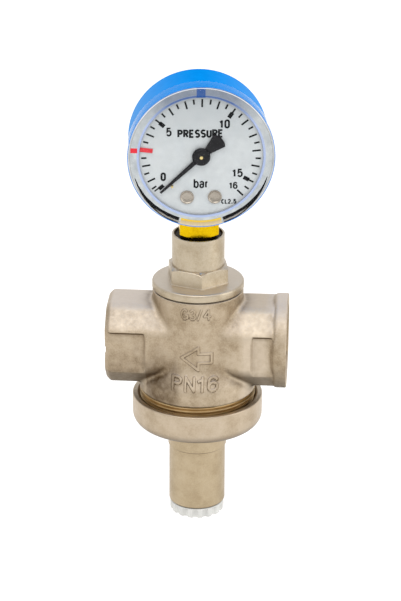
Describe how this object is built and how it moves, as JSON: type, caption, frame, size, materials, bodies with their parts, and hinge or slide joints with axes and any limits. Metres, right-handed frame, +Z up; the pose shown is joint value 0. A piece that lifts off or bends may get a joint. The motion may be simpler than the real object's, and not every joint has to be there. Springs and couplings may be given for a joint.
{
  "type": "pressure reducing valve",
  "caption": "Direct-acting pressure reducing valve with threaded pipe ports in line, a spring bonnet below and a dial gauge on top.",
  "frame": {"origin": "centre of the inlet port's end face", "axes": "+X out of the inlet port along the pipe, +Z up along the valve's axis towards the gauge, -Y towards the dial's viewer"},
  "size_m": [0.066, 0.048, 0.1722],
  "materials": {
    "cast_nickel": "satin nickel plating over a shot-blasted brass casting",
    "turned_nickel": "satin nickel plating over turned brass",
    "warm_nickel": "warm satin nickel plating over turned brass",
    "steel": "bright stainless steel",
    "spring_steel": "drawn spring wire",
    "rubber": "matt black rubber",
    "washer_plastic": "plain natural plastic",
    "inner_brass": "turned brass",
    "bright_brass": "bright machined brass",
    "movement_brass": "stamped and milled brass",
    "white_plastic": "moulded white plastic",
    "blue_paint": "bright blue gloss paint",
    "clear_plastic": "clear moulded plastic",
    "dial_white": "matt white dial lacquer",
    "red_mark": "red lacquer",
    "dial_screw_metal": "plain dull metal",
    "black_paint": "matt black lacquer"
  },
  "bodies": {
    "housing": {"valve_body": "cast_nickel", "seat_ring": "steel", "top_cover": "turned_nickel", "cover_o_ring": "rubber", "spring_bonnet": "warm_nickel", "slip_ring": "washer_plastic", "diaphragm": "rubber", "regulating_spring": "spring_steel", "gauge_socket": "bright_brass", "gauge_seal_washer": "washer_plastic", "gauge_case": "blue_paint", "gauge_window": "clear_plastic", "gauge_dial": "dial_white", "set_marker": "red_mark", "zero_stop_pin": "bright_brass", "dial_posts": "movement_brass", "dial_screws": "dial_screw_metal", "movement_back_plate": "movement_brass", "movement_front_plate": "movement_brass", "movement_pillars": "movement_brass", "movement_screws": "steel", "bourdon_tube": "movement_brass", "hairspring": "movement_brass"},
    "stem": {"valve_stem": "inner_brass", "balance_piston": "inner_brass", "piston_o_ring": "rubber", "seal_holder": "inner_brass", "seat_seal": "rubber", "seal_nut": "inner_brass", "diaphragm_plate": "inner_brass", "spring_seat": "steel", "diaphragm_nut": "steel"},
    "spring_washer": {"thrust_washer": "steel"},
    "adjuster": {"adjusting_screw": "inner_brass"},
    "cap_seal": {"cap_seal": "rubber"},
    "cap": {"adjuster_cap": "white_plastic"},
    "pointer": {"gauge_pointer": "black_paint", "pointer_arbor": "bright_brass"},
    "sector": {"sector_gear": "movement_brass", "sector_arbor": "steel"},
    "link": {"connecting_link": "movement_brass"},
    "tube_end": {"tube_tip": "movement_brass"}
  },
  "joints": [
    {"name": "stem_slide", "type": "slide", "parent": "housing", "child": "stem", "axis": [0, 0, 1], "range_m": [-0.0022, 0], "stiffness_N_per_m": 400, "springref_m": 0.004, "deforming": ["regulating_spring", "diaphragm"]},
    {"name": "spring_washer_slide", "type": "slide", "parent": "housing", "child": "spring_washer", "axis": [0, 0, 1], "range_m": [-0.003, 0.005], "deforming": ["regulating_spring"]},
    {"name": "adjuster_turn", "type": "hinge", "parent": "spring_washer", "child": "adjuster", "pos_m": [-0.033, 0, -0.0549], "axis": [0, 0, 1], "range_deg": [-720.01, 1200.01]},
    {"name": "cap_slide", "type": "slide", "parent": "housing", "child": "cap_seal", "axis": [0, 0, 1], "range_m": [-0.008, 0]},
    {"name": "cap_turn", "type": "hinge", "parent": "cap_seal", "child": "cap", "pos_m": [-0.033, 0, -0.068], "axis": [0, 0, 1], "range_deg": [-1920.01, 0.01]},
    {"name": "pointer_turn", "type": "hinge", "parent": "housing", "child": "pointer", "pos_m": [-0.033, 0, 0.0761], "axis": [-0.1201, 0.9928, 0], "range_deg": [0, 268], "stiffness_Nm_per_rad": 0.0001, "springref_deg": -57.3, "deforming": ["hairspring", "bourdon_tube"]},
    {"name": "sector_turn", "type": "hinge", "parent": "housing", "child": "sector", "pos_m": [-0.033, 0, 0.0646], "axis": [-0.1201, 0.9928, 0], "range_deg": [-40.3, 0.1]},
    {"name": "link_turn", "type": "hinge", "parent": "sector", "child": "link", "pos_m": [-0.02915, 0.00047, 0.06364], "axis": [-0.1201, 0.9928, 0], "range_deg": [-0.1, 43.85]},
    {"name": "tube_end_turn", "type": "hinge", "parent": "housing", "child": "tube_end", "pos_m": [-0.03026, 0.00033, 0.08112], "axis": [-0.1201, 0.9928, 0], "range_deg": [-8.45, 0.1]}
  ],
  "couplings": [
    {"joint": "adjuster_turn", "follows": "spring_washer_slide", "rad_per_m": 4188.8},
    {"joint": "cap_turn", "follows": "cap_slide", "rad_per_m": 4188.8},
    {"joint": "sector_turn", "follows": "pointer_turn", "ratio": -0.15},
    {"joint": "link_turn", "follows": "pointer_turn", "ratio": 0.1632},
    {"joint": "tube_end_turn", "follows": "pointer_turn", "ratio": -0.03113}
  ]
}
